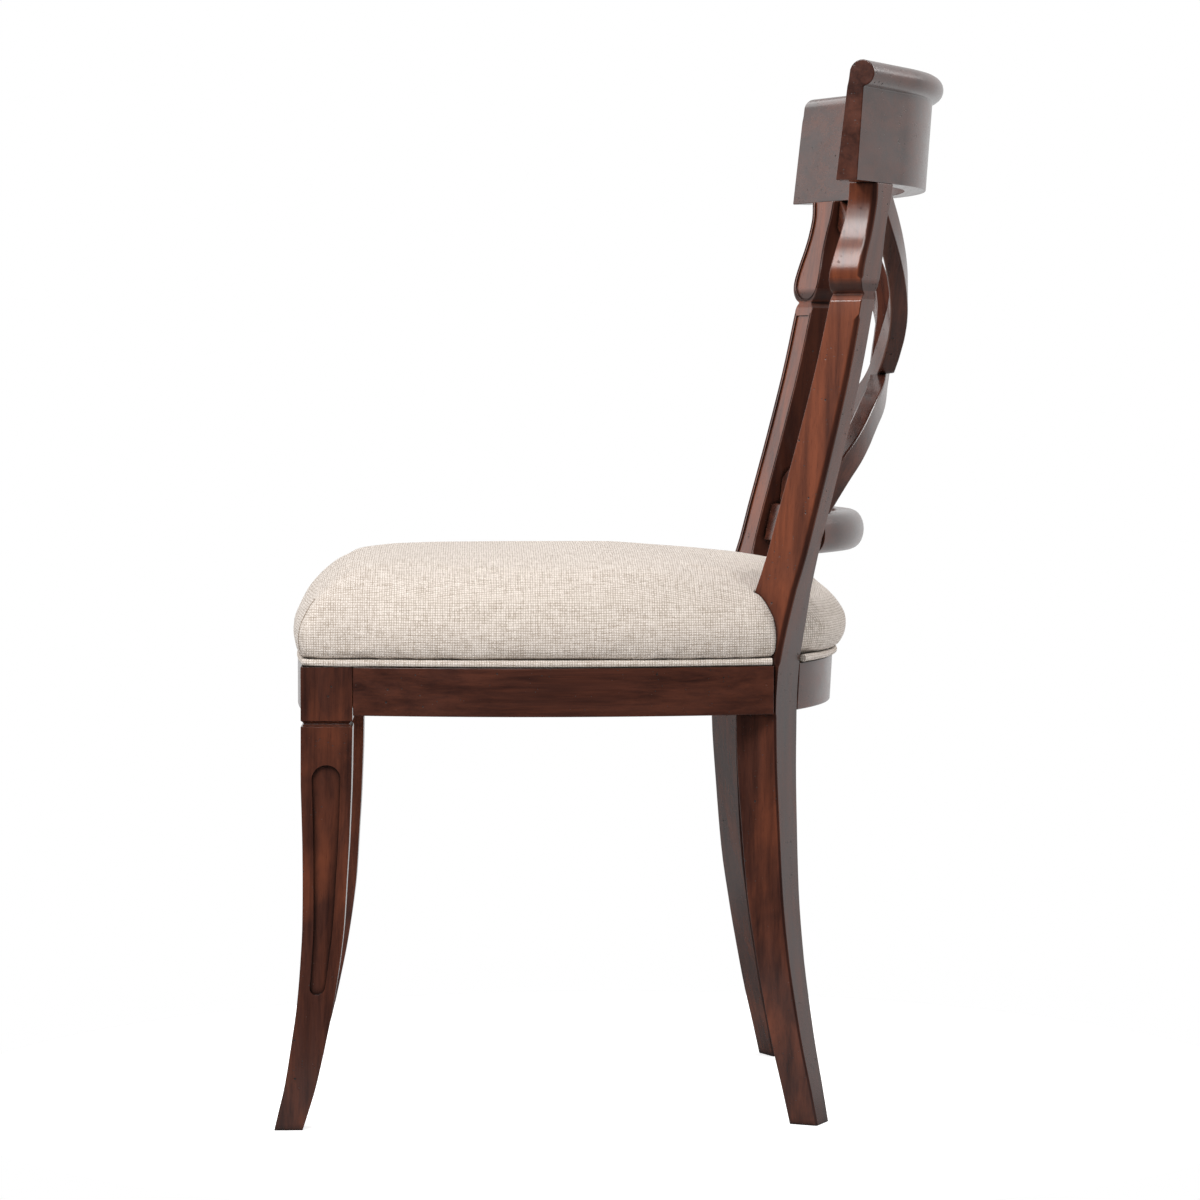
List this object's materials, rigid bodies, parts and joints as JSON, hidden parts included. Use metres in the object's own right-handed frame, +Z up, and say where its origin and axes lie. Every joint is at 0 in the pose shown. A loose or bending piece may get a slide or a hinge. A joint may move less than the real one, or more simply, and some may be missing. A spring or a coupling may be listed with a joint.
{
  "type": "klismos dining chair",
  "caption": "Klismos dining chair with sabre legs, a curved rolled crest rail, a crossed splat and a domed linen seat on bowed mahogany rails.",
  "frame": {"origin": "on the floor under the middle of the chair's box", "axes": "+Z up, the sitter faces -Y, and the sitter's left is +X"},
  "size_m": [0.5216, 0.6003, 0.9227],
  "materials": {
    "mahogany": "antiqued gloss lacquer over dark red mahogany",
    "linen": "oatmeal linen weave, matt",
    "foam": "upholstery foam",
    "hidden_wood": "unfinished beech and plywood",
    "cambric": "black dust cloth",
    "steel": "zinc plated"
  },
  "bodies": {
    "root": {"front_leg_left": "mahogany", "front_leg_right": "mahogany", "rear_leg_left": "mahogany", "rear_leg_right": "mahogany", "side_rail_left": "mahogany", "side_rail_right": "mahogany", "front_rail": "mahogany", "rear_rail": "mahogany", "crest_rail": "mahogany", "lower_back_rail": "mahogany", "splat_bar_rising_left": "mahogany", "splat_bar_rising_right": "mahogany", "front_corner_block_left": "hidden_wood", "front_corner_block_right": "hidden_wood", "rear_corner_block_left": "hidden_wood", "rear_corner_block_right": "hidden_wood", "seat_board": "hidden_wood", "front_rail_dowel_lower_left": "hidden_wood", "front_rail_dowel_lower_right": "hidden_wood", "side_rail_front_dowel_lower_left": "hidden_wood", "side_rail_front_dowel_lower_right": "hidden_wood", "rear_rail_dowel_lower_left": "hidden_wood", "rear_rail_dowel_lower_right": "hidden_wood", "side_rail_rear_dowel_lower_left": "hidden_wood", "side_rail_rear_dowel_lower_right": "hidden_wood", "front_rail_dowel_upper_left": "hidden_wood", "front_rail_dowel_upper_right": "hidden_wood", "side_rail_front_dowel_upper_left": "hidden_wood", "side_rail_front_dowel_upper_right": "hidden_wood", "rear_rail_dowel_upper_left": "hidden_wood", "rear_rail_dowel_upper_right": "hidden_wood", "side_rail_rear_dowel_upper_left": "hidden_wood", "side_rail_rear_dowel_upper_right": "hidden_wood", "lower_back_rail_dowel_left": "hidden_wood", "lower_back_rail_dowel_right": "hidden_wood", "crest_dowel_left": "hidden_wood", "crest_dowel_right": "hidden_wood", "seat_cover": "linen", "seat_welt_front": "linen", "seat_welt_rear": "linen", "seat_foam": "foam", "dust_cover": "cambric", "front_block_screw_to_front_rail_left": "steel", "front_block_screw_to_front_rail_right": "steel", "front_block_screw_to_side_rail_left": "steel", "front_block_screw_to_side_rail_right": "steel", "front_seat_screw_left": "steel", "front_seat_screw_right": "steel", "rear_block_screw_to_side_rail_left": "steel", "rear_block_screw_to_side_rail_right": "steel", "rear_block_screw_to_rear_rail_left": "steel", "rear_block_screw_to_rear_rail_right": "steel", "rear_seat_screw_left": "steel", "rear_seat_screw_right": "steel"}
  },
  "joints": []
}
